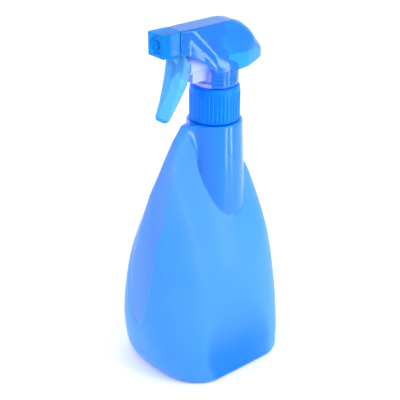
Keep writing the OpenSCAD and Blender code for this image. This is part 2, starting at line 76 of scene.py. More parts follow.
# ---------------------------------------------------------------- mesh helpers
def make_object(name, points, faces, material, smooth_deg=35):
    """A mesh object from points in millimetres, with smooth shading under an angle."""
    mesh = bpy.data.meshes.new(name)
    mesh.from_pydata([tuple(c * MM for c in p) for p in points], [], faces)
    return finish_mesh(mesh, name, material, smooth_deg)


def finish_mesh(mesh, name, material, smooth_deg=35):
    """Merges doubles, turns faces outwards and puts a mesh in the scene."""
    work = bmesh.new()
    work.from_mesh(mesh)
    bmesh.ops.remove_doubles(work, verts=work.verts, dist=1e-6)
    bmesh.ops.recalc_face_normals(work, faces=work.faces)
    work.to_mesh(mesh)
    work.free()
    mesh.polygons.foreach_set("use_smooth", [True] * len(mesh.polygons))
    mesh.set_sharp_from_angle(angle=math.radians(smooth_deg))
    mesh.materials.clear()
    mesh.materials.append(material)
    obj = bpy.data.objects.new(name, mesh)
    bpy.context.scene.collection.objects.link(obj)
    return obj


def loft(rings, closed_ring=True, cap_start=False, cap_end=False):
    """Points and faces of a skin through rings that have the same number of points."""
    count = len(rings[0])
    points = [tuple(p) for ring in rings for p in ring]
    faces = []
    last = count if closed_ring else count - 1
    for i in range(len(rings) - 1):
        for k in range(last):
            a = i * count + k
            b = i * count + (k + 1) % count
            faces.append((a, b, b + count, a + count))
    for want, row in ((cap_start, 0), (cap_end, len(rings) - 1)):
        if want:
            middle = np.mean(np.array(rings[row]), axis=0)
            points.append(tuple(middle))
            for k in range(count):
                faces.append((row * count + k, row * count + (k + 1) % count, len(points) - 1))
    return points, faces


def applied(obj, smooth_deg=35):
    """Replaces an object's mesh by what its modifiers make of it, and clears them."""
    graph = bpy.context.evaluated_depsgraph_get()
    mesh = bpy.data.meshes.new_from_object(obj.evaluated_get(graph))
    material = obj.data.materials[0]
    obj.modifiers.clear()
    obj.data = mesh
    mesh.materials.clear()
    mesh.materials.append(material)
    mesh.polygons.foreach_set("use_smooth", [True] * len(mesh.polygons))
    mesh.set_sharp_from_angle(angle=math.radians(smooth_deg))
    return obj


def thicken(obj, wall, bevel=0.0):
    """Gives an open shell a wall on its inner side, then softens its edges."""
    solid = obj.modifiers.new("wall", "SOLIDIFY")
    solid.thickness = wall * MM
    solid.offset = -1
    solid.use_even_offset = True
    if bevel:
        soften(obj, bevel)
    return applied(obj)


def soften(obj, width):
    """Rounds the edges that are sharper than 50 degrees."""
    edge = obj.modifiers.new("edge", "BEVEL")
    edge.width = width * MM
    edge.segments = 2
    edge.limit_method = "ANGLE"
    edge.angle_limit = math.radians(50)


def prism_x(name, outline, x_low, x_high, material, bevel=0.25):
    """A flat plate: an outline of (y, z) points from x_low to x_high."""
    count = len(outline)
    points = [(x_low, y, z) for y, z in outline] + [(x_high, y, z) for y, z in outline]
    faces = [tuple(range(count)), tuple(range(2 * count - 1, count - 1, -1))]
    for k in range(count):
        n = (k + 1) % count
        faces.append((k, k + count, n + count, n))
    obj = make_object(name, points, faces, material)
    soften(obj, bevel)
    return applied(obj)


def joined(name, parts):
    """One object from several, which are removed."""
    work = bmesh.new()
    for part in parts:
        work.from_mesh(part.data)
    mesh = bpy.data.meshes.new(name)
    work.to_mesh(mesh)
    work.free()
    mesh.materials.append(parts[0].data.materials[0])
    for part in parts:
        bpy.data.objects.remove(part)
    mesh.polygons.foreach_set("use_smooth", [True] * len(mesh.polygons))
    mesh.set_sharp_from_angle(angle=math.radians(35))
    obj = bpy.data.objects.new(name, mesh)
    bpy.context.scene.collection.objects.link(obj)
    return obj


def ring_y(radius, y, count, power=2.0):
    """A ring of points round the barrel's axis; a high power makes it square."""
    ring = []
    for k in range(count):
        a = 2 * math.pi * (k + 0.5) / count
        c, s = math.cos(a), math.sin(a)
        r = (abs(c) ** power + abs(s) ** power) ** (-1 / power)
        ring.append((radius * r * c, y, BARREL_Z + radius * r * s))
    return ring


def smooth_step(edge_low, edge_high, value):
    t = np.clip((value - edge_low) / (edge_high - edge_low), 0, 1)
    return t * t * (3 - 2 * t)


def soft_max(a, b, k):
    """The larger of two values, rounded over a width of k."""
    h = np.clip(0.5 + 0.5 * (a - b) / k, 0, 1)
    return b + (a - b) * h + k * h * (1 - h)


def soft_min(a, b, k):
    return -soft_max(-a, -b, k)


# ---------------------------------------------------------------- shader groups
def new_group(name, inputs, outputs):
    group = bpy.data.node_groups.new(name, "ShaderNodeTree")
    for label, kind, value in inputs:
        socket = group.interface.new_socket(label, in_out="INPUT", socket_type=kind)
        socket.default_value = value
    for label, kind in outputs:
        group.interface.new_socket(label, in_out="OUTPUT", socket_type=kind)
    group_in = group.nodes.new("NodeGroupInput")
    group_out = group.nodes.new("NodeGroupOutput")
    return group, group_in, group_out


def math_node(tree, operation, a, b=None):
    node = tree.nodes.new("ShaderNodeMath")
    node.operation = operation
    for socket, value in zip(node.inputs, (a, b)):
        if value is None:
            continue
        if isinstance(value, (int, float)):
            socket.default_value = value
        else:
            tree.links.new(value, socket)
    return node.outputs[0]


def moulded_group():
    """Slow waviness and fine grain of a moulded plastic surface."""
    tree, inside, out = new_group(
        "moulded_surface",
        [("Color", "NodeSocketColor", (0.1, 0.4, 1, 1)),
         ("Deep Color", "NodeSocketColor", (0.05, 0.2, 1, 1)),
         ("Roughness", "NodeSocketFloat", 0.2),
         ("Grain Scale", "NodeSocketFloat", 900.0),
         ("Flow Scale", "NodeSocketFloat", 30.0)],
        [("Color", "NodeSocketColor"), ("Roughness", "NodeSocketFloat"), ("Height", "NodeSocketFloat")])
    place = tree.nodes.new("ShaderNodeTexCoord")
    flow = tree.nodes.new("ShaderNodeTexNoise")
    tree.links.new(place.outputs["Object"], flow.inputs["Vector"])
    tree.links.new(inside.outputs["Flow Scale"], flow.inputs["Scale"])
    flow.inputs["Detail"].default_value = 2
    grain = tree.nodes.new("ShaderNodeTexNoise")
    tree.links.new(place.outputs["Object"], grain.inputs["Vector"])
    tree.links.new(inside.outputs["Grain Scale"], grain.inputs["Scale"])
    grain.inputs["Detail"].default_value = 3
    mix = tree.nodes.new("ShaderNodeMix")
    mix.data_type = "RGBA"
    tree.links.new(flow.outputs["Fac"], mix.inputs["Factor"])
    tree.links.new(inside.outputs["Color"], mix.inputs["A"])
    tree.links.new(inside.outputs["Deep Color"], mix.inputs["B"])
    tree.links.new(mix.outputs["Result"], out.inputs["Color"])
    spread = math_node(tree, "MULTIPLY", math_node(tree, "SUBTRACT", grain.outputs["Fac"], 0.5), 0.12)
    tree.links.new(math_node(tree, "ADD", spread, inside.outputs["Roughness"]), out.inputs["Roughness"])
    slow = math_node(tree, "MULTIPLY", flow.outputs["Fac"], 4.0)
    tree.links.new(math_node(tree, "ADD", slow, grain.outputs["Fac"]), out.inputs["Height"])
    return tree


MOULDED = moulded_group()


def plastic(name, color, deep, roughness, transmission=0.0, subsurface=0.0, grain=900.0,
            bump=0.02, coat=0.0, ior=1.46, coat_roughness=0.06, specular=0.3):
    """A moulded plastic: the shared surface group under a Principled shader."""
    material = bpy.data.materials.new(name)
    material.use_nodes = True
    tree = material.node_tree
    shader = tree.nodes["Principled BSDF"]
    surface = tree.nodes.new("ShaderNodeGroup")
    surface.node_tree = MOULDED
    surface.inputs["Color"].default_value = (*color, 1)
    surface.inputs["Deep Color"].default_value = (*deep, 1)
    surface.inputs["Roughness"].default_value = roughness
    surface.inputs["Grain Scale"].default_value = grain
    bumper = tree.nodes.new("ShaderNodeBump")
    bumper.inputs["Strength"].default_value = bump
    bumper.inputs["Distance"].default_value = 0.0005
    tree.links.new(surface.outputs["Color"], shader.inputs["Base Color"])
    tree.links.new(surface.outputs["Roughness"], shader.inputs["Roughness"])
    tree.links.new(surface.outputs["Height"], bumper.inputs["Height"])
    tree.links.new(bumper.outputs["Normal"], shader.inputs["Normal"])
    shader.inputs["Transmission Weight"].default_value = transmission
    shader.inputs["IOR"].default_value = ior
    shader.inputs["Specular IOR Level"].default_value = specular
    shader.inputs["Coat Weight"].default_value = coat
    shader.inputs["Coat Roughness"].default_value = coat_roughness
    shader.inputs["Subsurface Weight"].default_value = subsurface
    shader.inputs["Subsurface Radius"].default_value = (0.4, 0.7, 1.0)
    shader.inputs["Subsurface Scale"].default_value = 0.004
    return material


def bottle_plastic():
    """Frosted bottle wall, glossier on the neck cone and on the front panel, with painted shade on its
    flat sides that is darkest low down towards their front.
    """
    material = plastic("frosted_bottle", (0.07, 0.33, 1.0), (0.05, 0.30, 0.98), 0.36,
                       transmission=0.15, subsurface=0.5, grain=1500, bump=0.12, coat=0.06,
                       coat_roughness=0.12, ior=1.3, specular=0.3)
    tree = material.node_tree
    shader = tree.nodes["Principled BSDF"]
    surface = next(n for n in tree.nodes if n.type == "GROUP")

    def attribute(label):
        node = tree.nodes.new("ShaderNodeAttribute")
        node.attribute_name = label
        return node.outputs["Fac"]

    color = surface.outputs["Color"]
    for label, tint in (("cone", (0.0, 0.23, 0.97, 1)), ("panel", (0.10, 0.29, 1.0, 1)),
                        # painted shade: the flat sides are tinted darker, and darker still low down
                        # towards their front
                        ("facet_shade", (0.05, 0.27, 1.0, 1)), ("foot", (0.0, 0.20, 0.95, 1))):
        mix = tree.nodes.new("ShaderNodeMix")
        mix.data_type = "RGBA"
        tree.links.new(attribute(label), mix.inputs["Factor"])
        tree.links.new(color, mix.inputs["A"])
        mix.inputs["B"].default_value = tint
        color = mix.outputs["Result"]
    tree.links.new(color, shader.inputs["Base Color"])
    gloss = math_node(tree, "MAXIMUM", attribute("cone"), attribute("panel"))
    drop = math_node(tree, "MULTIPLY", gloss, 0.2)
    rough = math_node(tree, "SUBTRACT", surface.outputs["Roughness"], drop)
    tree.links.new(rough, shader.inputs["Roughness"])
    gloss_coat = math_node(tree, "MULTIPLY", attribute("cone"), 0.6)
    tree.links.new(math_node(tree, "ADD", gloss_coat, 0.06), shader.inputs["Coat Weight"])
    return material


def steel(name):
    """Bright spring steel, with the same fine grain in its roughness."""
    material = bpy.data.materials.new(name)
    material.use_nodes = True
    tree = material.node_tree
    shader = tree.nodes["Principled BSDF"]
    surface = tree.nodes.new("ShaderNodeGroup")
    surface.node_tree = MOULDED
    surface.inputs["Color"].default_value = (0.72, 0.72, 0.74, 1)
    surface.inputs["Deep Color"].default_value = (0.6, 0.6, 0.62, 1)
    surface.inputs["Roughness"].default_value = 0.22
    tree.links.new(surface.outputs["Color"], shader.inputs["Base Color"])
    tree.links.new(surface.outputs["Roughness"], shader.inputs["Roughness"])
    shader.inputs["Metallic"].default_value = 1.0
    return material


FROSTED = bottle_plastic()
CLOSURE = plastic("closure_blue", (0.0, 0.21, 1.0), (0.0, 0.18, 0.95), 0.3, subsurface=0.25,
                  bump=0.03, coat=0.05, specular=0.1)
TINTED = plastic("tinted_head", (0.02, 0.43, 1.0), (0.01, 0.40, 0.97), 0.1, transmission=0.75,
                 bump=0.015, coat=0.45, coat_roughness=0.04, ior=1.2, specular=0.2)
LEVER = plastic("tinted_trigger", (0.12, 0.56, 1.0), (0.09, 0.51, 1.0), 0.1, transmission=0.65,
                bump=0.015, coat=0.08, coat_roughness=0.05, ior=1.2, specular=0.2)
TINTED_DEEP = plastic("tinted_nozzle", (0.0, 0.39, 1.0), (0.0, 0.36, 0.97), 0.1, transmission=0.6,
                      bump=0.015, coat=0.03, coat_roughness=0.05, ior=1.2, specular=0.2)
NATURAL = plastic("natural_pump", (0.42, 0.50, 0.98), (0.36, 0.45, 0.97), 0.35, subsurface=0.3,
                  bump=0.03, specular=0.15)
TUBE = plastic("clear_tube", (0.75, 0.85, 1.0), (0.7, 0.8, 1.0), 0.2, transmission=0.7, bump=0.02)
SEAL = plastic("soft_seal", (0.6, 0.63, 0.7), (0.5, 0.53, 0.6), 0.5, bump=0.05)
STEEL = steel("spring_steel")

# ---------------------------------------------------------------- bottle
# Each station: share of the height, then the share of the half width, of the
# front reach and of the back reach, and the roundness exponent of the section.
STATIONS = np.array([
    [0.00, 1.00, 0.81, 0.93, 2.90],
    [0.03, 0.98, 0.87, 0.95, 2.85],
    [0.09, 0.96, 0.93, 0.98, 2.80],
    [0.26, 0.84, 1.00, 1.00, 2.70],
    [0.51, 0.66, 0.95, 0.90, 2.50],
    [0.74, 0.30, 0.81, 0.67, 2.20],
    [0.84, 0.15, 0.69, 0.45, 2.10],
    [0.93, 0.14, 0.555, 0.25, 2.00],
    [0.98, 0.13, 0.455, 0.18, 2.00],
    [1.00, 0.13, 0.41, 0.15, 2.00],
])
HALF_WIDTH = 45.5
FLAT_HALF = 43.0
FLAT_LEAN = math.radians(7)
FLAT_CROWN = 0.03
FRONT_REACH = 68.0
BACK_REACH = 45.0
CONE_R = 18.9
CONE_FLARE = math.radians(2.7)
WALL = 1.4
FLOOR = 3.0
FOOT_R = 2.2             # rounding round the foot
SHOULDER_R = 1.5         # rounding of the cone's top edge
LIP_R = 0.4
BODY_ROWS = 150
INNER_ROWS = 50
RING_COUNT = 288
TURNS = 2 * math.pi * np.arange(RING_COUNT) / RING_COUNT
ANGLES = TURNS - 0.45 * np.cos(TURNS)    # closer together at the front


def station(share, column):
    """The smooth curve through the stations at a share of the height."""
    i = int(np.clip(np.searchsorted(STATIONS[:, 0], share) - 1, 0, len(STATIONS) - 2))

    def slope(j):
        low, high = max(j - 1, 0), min(j + 1, len(STATIONS) - 1)
        rise = STATIONS[high, column] - STATIONS[low, column]
        return rise / (STATIONS[high, 0] - STATIONS[low, 0])

    step = STATIONS[i + 1, 0] - STATIONS[i, 0]
    u = (share - STATIONS[i, 0]) / step
    return (STATIONS[i, column] * (2 * u**3 - 3 * u**2 + 1)
            + slope(i) * step * (u**3 - 2 * u**2 + u)
            + STATIONS[i + 1, column] * (3 * u**2 - 2 * u**3)
            + slope(i + 1) * step * (u**3 - u**2))


def section_radius(share):
    """Radius of the body's own section round the neck's axis, at every angle."""
    middle = -7 + 5 * share
    half = HALF_WIDTH * station(share, 1)
    front = FRONT_REACH * station(share, 2) + middle
    back = BACK_REACH * station(share, 3) - middle
    power = station(share, 4)
    low, high = np.zeros(RING_COUNT), np.full(RING_COUNT, 120.0)
    for _ in range(30):    # halves the search until it is far below a micron
        r = (low + high) / 2
        y = r * np.sin(ANGLES) - middle
        reach = np.where(y < 0, front, back)
        load = np.abs(r * np.cos(ANGLES) / half) ** power + np.abs(y / reach) ** power
        high = np.where(load > 1, r, high)
        low = np.where(load > 1, low, r)
    return (low + high) / 2


def panel_half_width(z):
    """Half width of the smooth leaf-shaped panel on the front."""
    low, high, widest = 40.0, 172.0, 11.5
    t = np.clip((z - low) / (high - low), 0, 1)
    return widest * (1 - np.abs(2 * t - 1) ** 4.5) * (1 - 0.62 * smooth_step(108, 156, z))


def body_ring(z):
    """Radii of the outer wall at a height, the masks of its smooth areas, and the masks of painted shade
    on its flat sides.
    """
    share = z / BODY_H
    own = section_radius(share)
    flat_reach = np.abs(np.cos(ANGLES)) + FLAT_CROWN * np.sin(ANGLES) ** 2
    flat = (FLAT_HALF - z * math.tan(FLAT_LEAN)) / flat_reach
    cone = np.full(RING_COUNT, CONE_R + (BODY_H - z) * math.tan(CONE_FLARE))
    skin = soft_min(own, flat, 0.7)
    # near its top the front edge runs into the cone through a wide hollow
    hollow = smooth_step(143, 176, z) * np.clip(-np.sin(ANGLES), 0, 1)
    radius = soft_max(skin, cone, 0.7 + 5 * hollow)
    x = np.abs(radius * np.cos(ANGLES))
    y = radius * np.sin(ANGLES)
    on_front = np.sin(ANGLES) < -0.2
    inside = np.where(on_front, panel_half_width(z) - x, -9.0)
    panel = smooth_step(-0.6, 0.6, inside)
    cone_mask = smooth_step(-0.3, 0.3, cone + 7 * hollow - skin)
    panel = panel * (1 - cone_mask)
    # painted shade: a darker tint over the flat sides, and a still darker one low down towards their
    # front
    facet_shade = smooth_step(-0.5, 1.5, own - flat) * (1 - cone_mask)
    foot = facet_shade * smooth_step(44, 14, z) * smooth_step(-58, -34, y) * smooth_step(34, -6, y)
    radius = radius - 0.35 * panel - 0.2 * cone_mask
    return radius, {"cone": cone_mask, "panel": panel, "facet_shade": facet_shade * 0.8, "foot": foot * 0.85}


def make_bottle():
    """The outer wall from the foot up, over the lip, and down the inside to the floor."""
    rings, masks = [], []
    blank = np.zeros(RING_COUNT)
    names = ("cone", "panel", "facet_shade", "foot")

    def add(radius, z, mask=None):
        rings.append([(r * math.cos(a), r * math.sin(a), z) for r, a in zip(radius, ANGLES)])
        masks.append(mask or {n: blank for n in names})

    base, base_mask = body_ring(0.01)
    for inset, z in ((14.0, 0.9), (9.0, 0.5), (6.0, 0.0)):
        add(base - inset, z, base_mask)
    for step in range(7):
        a = math.pi / 2 * step / 6
        radius, mask = body_ring(FOOT_R * (1 - math.cos(a)) + 0.001)
        add(radius - FOOT_R * (1 - math.sin(a)), FOOT_R * (1 - math.cos(a)), mask)
    top = BODY_H - SHOULDER_R
    for i in range(1, BODY_ROWS + 1):
        z = FOOT_R + (top - FOOT_R) * i / BODY_ROWS
        radius, mask = body_ring(z)
        add(radius, z, mask)
    radius, mask = body_ring(top)
    for step in range(1, 6):
        a = math.pi / 2 * step / 5
        add(radius - SHOULDER_R * (1 - math.cos(a)), top + SHOULDER_R * math.sin(a), mask)
    all_cone = {n: blank + (n == "cone") for n in names}
    for r, z in ((15, BODY_H), (NECK_R + 0.6, BODY_H), (NECK_R, BODY_H + 0.6),
                 (NECK_R, LIP_Z - 0.5), (NECK_R - 0.5, LIP_Z), (NECK_BORE_R + LIP_R, LIP_Z),
                 (NECK_BORE_R, LIP_Z - LIP_R), (NECK_BORE_R, BODY_H - 1.8),
                 (NECK_BORE_R + 1.5, BODY_H - 2.6)):
        add(np.full(RING_COUNT, float(r)), z, all_cone)
    for i in range(INNER_ROWS + 1):
        z = BODY_H - 4 - (BODY_H - 4 - FLOOR - 2) * i / INNER_ROWS
        radius, mask = body_ring(z)
        add(radius - WALL, z, mask)
    low, mask = body_ring(FLOOR)
    add(low - WALL - 0.8, FLOOR + 0.6, mask)
    add(low - WALL - 2.5, FLOOR, mask)
    points, faces = loft(rings, cap_start=True, cap_end=True)
    obj = make_object("bottle_wall", points, faces, FROSTED, smooth_deg=40)
    for name in names:
        layer = obj.data.attributes.new(name, "FLOAT", "POINT")
        middles = [0.0, 0.0]    # the two points that close the ends of the skin
        values = [float(v) for m in masks for v in m[name]] + middles
        layer.data.foreach_set("value", values[:len(obj.data.vertices)])
    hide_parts("bottle")
    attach(obj, "bottle")


def neck_thread():
    """The ridge that winds round the neck, which the closure screws on."""
    rings = []
    steps, turns, pitch, depth = 120, 1.7, 4.2, 0.8
    for i in range(steps + 1):
        a = 2 * math.pi * turns * i / steps
        z = BODY_H + 7.5 + pitch * turns * i / steps
        grow = math.sin(math.pi * i / steps) ** 0.25
        foot, crest = NECK_R - 0.3, NECK_R + depth * grow
        profile = ((foot, -1.0), (crest, -0.35), (crest, 0.35), (foot, 1.0))
        high = max(grow, 0.2)
        rings.append([(r * math.cos(a), r * math.sin(a), z + dz * high) for r, dz in profile])
    points, faces = loft(rings, cap_start=True, cap_end=True)
    obj = make_object("neck_thread", points, faces, FROSTED)
    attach(obj, "bottle")


# ---------------------------------------------------------------- closure
RIB_COUNT = 40


def revolved(name, profile, material, count=160, angle_from=0.0, angle_to=360.0):
    """Turns a closed profile of (radius, height) points about the neck's axis."""
    full = angle_to - angle_from >= 360
    steps = count if full else count + 1
    rings = []
    for i in range(steps):
        a = math.radians(angle_from + (angle_to - angle_from) * i / count)
        rings.append([(r * math.cos(a), r * math.sin(a), z) for r, z in profile])
    if full:
        rings.append(rings[0])
    points, faces = loft(rings, cap_start=not full, cap_end=not full)
    return make_object(name, points, faces, material)


def rib_tree(material):
    """Geometry Nodes: ribs set round a circle, turned to face outwards."""
    tree = bpy.data.node_groups.new("closure_ribs", "GeometryNodeTree")
    tree.interface.new_socket("Geometry", in_out="INPUT", socket_type="NodeSocketGeometry")
    for label, kind, value in (("Rib Count", "NodeSocketInt", RIB_COUNT),
                               ("Circle Radius", "NodeSocketFloat", 0.0165),
                               ("Foot Height", "NodeSocketFloat", 0.178)):
        socket = tree.interface.new_socket(label, in_out="INPUT", socket_type=kind)
        socket.default_value = value
    tree.interface.new_socket("Geometry", in_out="OUTPUT", socket_type="NodeSocketGeometry")
    nodes, links = tree.nodes, tree.links
    inside, out = nodes.new("NodeGroupInput"), nodes.new("NodeGroupOutput")
    circle = nodes.new("GeometryNodeMeshCircle")
    links.new(inside.outputs["Rib Count"], circle.inputs["Vertices"])
    links.new(inside.outputs["Circle Radius"], circle.inputs["Radius"])
    place = nodes.new("GeometryNodeInputPosition")
    aim = nodes.new("FunctionNodeAlignRotationToVector")
    aim.axis = "X"
    links.new(place.outputs["Position"], aim.inputs["Vector"])
    spread = nodes.new("GeometryNodeInstanceOnPoints")
    links.new(circle.outputs["Mesh"], spread.inputs["Points"])
    links.new(inside.outputs["Geometry"], spread.inputs["Instance"])
    links.new(aim.outputs["Rotation"], spread.inputs["Rotation"])
    lift = nodes.new("ShaderNodeCombineXYZ")
    links.new(inside.outputs["Foot Height"], lift.inputs["Z"])
    move = nodes.new("GeometryNodeTransform")
    links.new(spread.outputs["Instances"], move.inputs["Geometry"])
    links.new(lift.outputs["Vector"], move.inputs["Translation"])
    real = nodes.new("GeometryNodeRealizeInstances")
    links.new(move.outputs["Geometry"], real.inputs["Geometry"])
    paint = nodes.new("GeometryNodeSetMaterial")
    paint.inputs["Material"].default_value = material
    links.new(real.outputs["Geometry"], paint.inputs["Geometry"])
    links.new(paint.outputs["Geometry"], out.inputs["Geometry"])
    return tree


def set_input(modifier, label, value):
    """Sets a modifier's input by the identifier that its label stands for."""
    for item in modifier.node_group.interface.items_tree:
        if item.item_type == "SOCKET" and item.in_out == "INPUT" and item.name == label:
            modifier[item.identifier] = value


def make_closure():
    body_r = COLLAR_R - 0.45
    bore = 14.2
    ceiling = COLLAR_TOP - 2.5
    profile = [(bore, COLLAR_Z), (COLLAR_R - 0.3, COLLAR_Z), (COLLAR_R, COLLAR_Z + 0.3),
               (COLLAR_R, COLLAR_Z + 0.9), (body_r, COLLAR_Z + 1.2), (body_r, COLLAR_TOP - 2.4)]
    for step in range(1, 7):
        a = math.pi / 2 * step / 6
        profile.append((body_r - 2.0 * (1 - math.cos(a)), COLLAR_TOP - 2.4 + 2.4 * math.sin(a)))
    profile += [(12.1, COLLAR_TOP), (11.9, COLLAR_TOP - 0.2), (11.9, ceiling), (bore, ceiling)]
    body = revolved("closure_body", profile, CLOSURE)
    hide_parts("collar")
    height, half, out = 18.6, 0.62, 0.4
    root = -0.35    # a rib starts this far inside the ring
    arc = [math.pi * t / 6 for t in range(7)]
    section = [(root, -half)] + [(out * math.sin(a), -half * math.cos(a)) for a in arc] + [(root, half)]
    rings = []
    for z, size in ((0, 1), (height - 1.2, 1), (height - 0.4, 0.75), (height, 0.25)):
        rings.append([(x * size if x > 0 else x, y * (0.6 + 0.4 * size), z) for x, y in section])
    points, faces = loft(rings, cap_start=True, cap_end=True)
    ribs = make_object("closure_ribs", points, faces, CLOSURE)
    repeat = ribs.modifiers.new("ribs", "NODES")
    repeat.node_group = rib_tree(CLOSURE)
    set_input(repeat, "Rib Count", RIB_COUNT)
    set_input(repeat, "Circle Radius", (body_r - 0.05) * MM)
    set_input(repeat, "Foot Height", (COLLAR_Z + 1.0) * MM)
    applied(ribs)
    for piece in (body, ribs):
        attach(piece, "closure")


# ---------------------------------------------------------------- shroud
CROWN_Y = 5.0
CROWN_R = 25.5
CROWN_END = math.radians(40)
NOSE_Y = 33.8
NOSE_R = 3.6
SIDE_Z = 212.0           # lower edge of the shroud's sides
NOSE_Z = SIDE_Z + NOSE_R + 1.4
# half width of the shroud's outline seen from above, as (y, x) points
PLAN = np.array([[-34.2, 7.6], [-28.2, 8.5], [-18, 11.4], [-10, 14], [0, 15.4], [8, 15.2],
                 [16, 13.8], [24, 11], [31, 8.2], [35, 5.9], [37.4, 2.9]])


def shroud_top(y):
    """Height of the shroud's back line."""
    if y <= CROWN_Y:
        return DECK_Z
    crown_last = CROWN_Y + CROWN_R * math.cos(CROWN_END)
    if y <= crown_last:
        return DECK_Z - CROWN_R + math.sqrt(CROWN_R**2 - (y - CROWN_Y) ** 2)
    nose_first = NOSE_Y + NOSE_R * math.cos(CROWN_END)
    if y <= nose_first:
        high = DECK_Z - CROWN_R + CROWN_R * math.sin(CROWN_END)
        low = NOSE_Z + NOSE_R * math.sin(CROWN_END)
        return high + (low - high) * (y - crown_last) / (nose_first - crown_last)
    return NOSE_Z + math.sqrt(max(NOSE_R**2 - (y - NOSE_Y) ** 2, 0))


def front_edge():
    """Curve of the cut-out over the trigger, as (y, z) points."""
    low = np.array([-11.6, SIDE_Z + 1.2])
    bend = np.array([-17.5, SIDE_Z + 10.5])
    high = np.array([-34.2, BARREL_Z - 6.7])
    steps = np.linspace(0, 1, 24)
    return np.array([(1 - u) ** 2 * low + 2 * u * (1 - u) * bend + u * u * high for u in steps])


EDGE = front_edge()[::-1]


def shroud_bottom(y):
    """Height of the lower edge of the shroud's sides."""
    if y < EDGE[-1, 0]:
        return float(np.interp(y, EDGE[:, 0], EDGE[:, 1]))
    if y < -10.6:
        return SIDE_Z + 1.2 * (-10.6 - y)
    if y <= 18:
        return SIDE_Z
    nose_last = NOSE_Y + 0.6
    if y <= nose_last:
        return SIDE_Z + (NOSE_Z - NOSE_R - SIDE_Z) * (y - 18) / (nose_last - 18)
    return NOSE_Z - math.sqrt(max(NOSE_R**2 - (y - NOSE_Y) ** 2, 0))


def side_x(y, z):
    """Half width of the shroud at a place along Y and a height."""
    plan = float(np.interp(y, PLAN[:, 0], PLAN[:, 1]))
    face = 8.0 + (DECK_Z - z) * 0.27
    return float(soft_min(np.array(face), np.array(plan), 1.6))


def shroud_section(y):
    """Right half of a section, from the middle of the top to the lower edge."""
    top, bottom = shroud_top(y), shroud_bottom(y)
    round_r = 1.5 + 6.5 * float(smooth_step(2, 26, np.array(y)))
    round_r = min(round_r, 0.9 * side_x(y, top), 0.45 * max(top - bottom, 0.1))
    flat = side_x(y, top) - round_r
    half = [(flat * k / 6, top) for k in range(6)]
    for k in range(9):
        a = math.pi / 2 * k / 8
        z = top - round_r * (1 - math.cos(a))
        half.append((side_x(y, z) - round_r * (1 - math.sin(a)), z))
    for k in range(1, 20):
        z = top - round_r - (top - round_r - bottom) * k / 19
        half.append((side_x(y, z), z))
    return half


def make_shroud():
    """The thin shell over the pump, joined with its grooved skirt."""
    stations = list(np.linspace(SHROUD_FRONT, CROWN_Y, 48))
    stations += list(np.linspace(CROWN_Y, NOSE_Y, 34)[1:])
    stations += [NOSE_Y + NOSE_R * math.sin(math.pi / 2 * k / 10) for k in range(1, 10)]
    stations.append(NOSE_END - 0.02)
    rings = []
    for y in stations:
        half = shroud_section(y)
        ring = [(-x, y, z) for x, z in half[:0:-1]] + [(x, y, z) for x, z in half]
        rings.append(ring)
    points, faces = loft(rings, closed_ring=False)
    shell = make_object("shell", points, faces, TINTED)
    thicken(shell, SHROUD_WALL, bevel=0.25)
    opening = 41    # degrees that the skirt is open to each side of the front
    groove = SKIRT_R - 0.35
    profile = [(SKIRT_R - SHROUD_WALL, SKIRT_Z), (SKIRT_R - 0.2, SKIRT_Z)]
    for rise in (2.6, 5.0, 7.4):
        z = SKIRT_Z + rise
        profile += [(SKIRT_R, z - 1.2), (SKIRT_R, z), (groove, z + 0.12), (groove, z + 0.55),
                    (SKIRT_R, z + 0.7)]
    top = SIDE_Z + 0.4
    profile += [(SKIRT_R, top - 0.5), (SKIRT_R - 0.3, top), (SKIRT_R - SHROUD_WALL, top)]
    skirt = revolved("skirt", profile, TINTED, angle_from=-90 + opening, angle_to=270 - opening)
    obj = joined("shroud_shell", [shell, skirt])
    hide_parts("shroud")
    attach(obj, "head")


